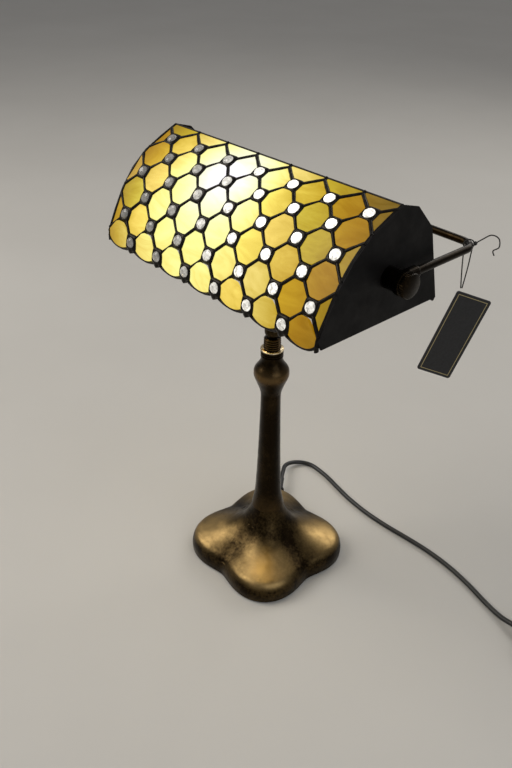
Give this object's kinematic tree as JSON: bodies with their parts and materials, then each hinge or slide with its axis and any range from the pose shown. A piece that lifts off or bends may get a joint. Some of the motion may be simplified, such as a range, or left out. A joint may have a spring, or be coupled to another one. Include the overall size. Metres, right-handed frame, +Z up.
{
  "type": "desk lamp",
  "caption": "Banker desk lamp: a leaded opal glass trough shade tilts in a swivelling yoke on a turned bronze column with a heavy four-lobed base.",
  "frame": {"origin": "on the column's axis at the underside of the felt under the base", "axes": "+Z up along the column, +X along the shade, the leaded front of the shade faces -Y and the yoke's bar is at +Y"},
  "size_m": [0.546, 0.256, 0.4205],
  "materials": {
    "bronze": "antiqued dark bronze patina, satin, rubbed to gold on the high spots",
    "black_metal": "sheet metal with a black-brown patina, satin",
    "bright_brass": "pale polished brass",
    "steel": "zinc plated",
    "iron": "rough casting",
    "felt": "dark green felt",
    "opal_glass": "opalescent cream and amber art glass",
    "lead": "solder with a black patina",
    "ceramic": "unglazed white ceramic",
    "bulb_glass": "frosted bulb",
    "black_plastic": "moulded, fine texture",
    "cord_pvc": "smooth flexible sheath",
    "card": "blank black card with a soft sheen"
  },
  "bodies": {
    "stand": {"felt_pad": "felt", "base_casting": "bronze", "base_weight": "iron", "base_washer": "steel", "base_nut": "steel", "center_tube": "steel", "column": "bronze", "neck_washer": "bright_brass", "ribbed_neck": "bronze", "swivel_pin": "steel", "cord_bushing": "black_plastic", "cord_to_switch": "cord_pvc", "switch_bottom": "black_plastic", "switch_top": "black_plastic", "cord_to_coil": "cord_pvc", "cord_coil": "cord_pvc", "coil_tie": "black_plastic", "cord_to_plug": "cord_pvc", "plug_body": "black_plastic", "plug_pin_1": "steel", "plug_pin_2": "steel"},
    "rocker": {"switch_rocker": "black_plastic"},
    "yoke": {"swivel_ball": "bright_brass", "stem": "bronze", "yoke_tee": "bronze", "yoke_tube": "bronze", "left_yoke_eye": "bronze", "right_yoke_eye": "bronze", "left_spacer": "bronze", "right_spacer": "bronze", "left_washer": "bright_brass", "right_washer": "bright_brass"},
    "shade": {"left_end_cap": "black_metal", "right_end_cap": "black_metal", "glass_row_1": "opal_glass", "glass_row_2": "opal_glass", "glass_row_3": "opal_glass", "glass_row_4": "opal_glass", "glass_row_5": "opal_glass", "glass_row_6": "opal_glass", "glass_row_7": "opal_glass", "back_glass_1": "opal_glass", "back_glass_2": "opal_glass", "back_glass_3": "opal_glass", "front_came": "lead", "ridge_came": "lead", "back_came": "lead", "left_lock_nut": "steel", "right_lock_nut": "steel", "left_pivot_screw": "steel", "right_pivot_screw": "steel", "lampholder_cap": "black_plastic", "lampholder_insulator": "ceramic", "lampholder_shell": "black_plastic", "bulb_cap": "bright_brass", "bulb_globe": "bulb_glass"},
    "left_knob": {"left_thumb_knob": "bronze"},
    "right_knob": {"right_thumb_knob": "bronze"},
    "tag": {"tag_card": "card", "tag_string": "black_plastic"}
  },
  "joints": [
    {"name": "yoke_swivel", "type": "hinge", "parent": "stand", "child": "yoke", "pos_m": [0, 0, 0.2651], "axis": [0, 0, 1], "range_deg": [-150, 150]},
    {"name": "shade_tilt", "type": "hinge", "parent": "yoke", "child": "shade", "pos_m": [0, -0.012, 0.3697], "axis": [1, 0, 0], "range_deg": [-60, 60]},
    {"name": "left_knob_turn", "type": "hinge", "parent": "shade", "child": "left_knob", "pos_m": [-0.146, -0.012, 0.3697], "axis": [-1, 0, 0], "range_deg": [0, 360]},
    {"name": "right_knob_turn", "type": "hinge", "parent": "shade", "child": "right_knob", "pos_m": [0.146, -0.012, 0.3697], "axis": [1, 0, 0], "range_deg": [0, 360]},
    {"name": "switch_press", "type": "hinge", "parent": "stand", "child": "rocker", "pos_m": [0.276, 0.104, 0.0145], "axis": [0, 1, 0], "range_deg": [0, 14]},
    {"name": "tag_swing", "type": "hinge", "parent": "yoke", "child": "tag", "pos_m": [0.13329, 0.07919, 0.3697], "axis": [0.7071, -0.7071, 0], "range_deg": [-20, 20]}
  ]
}
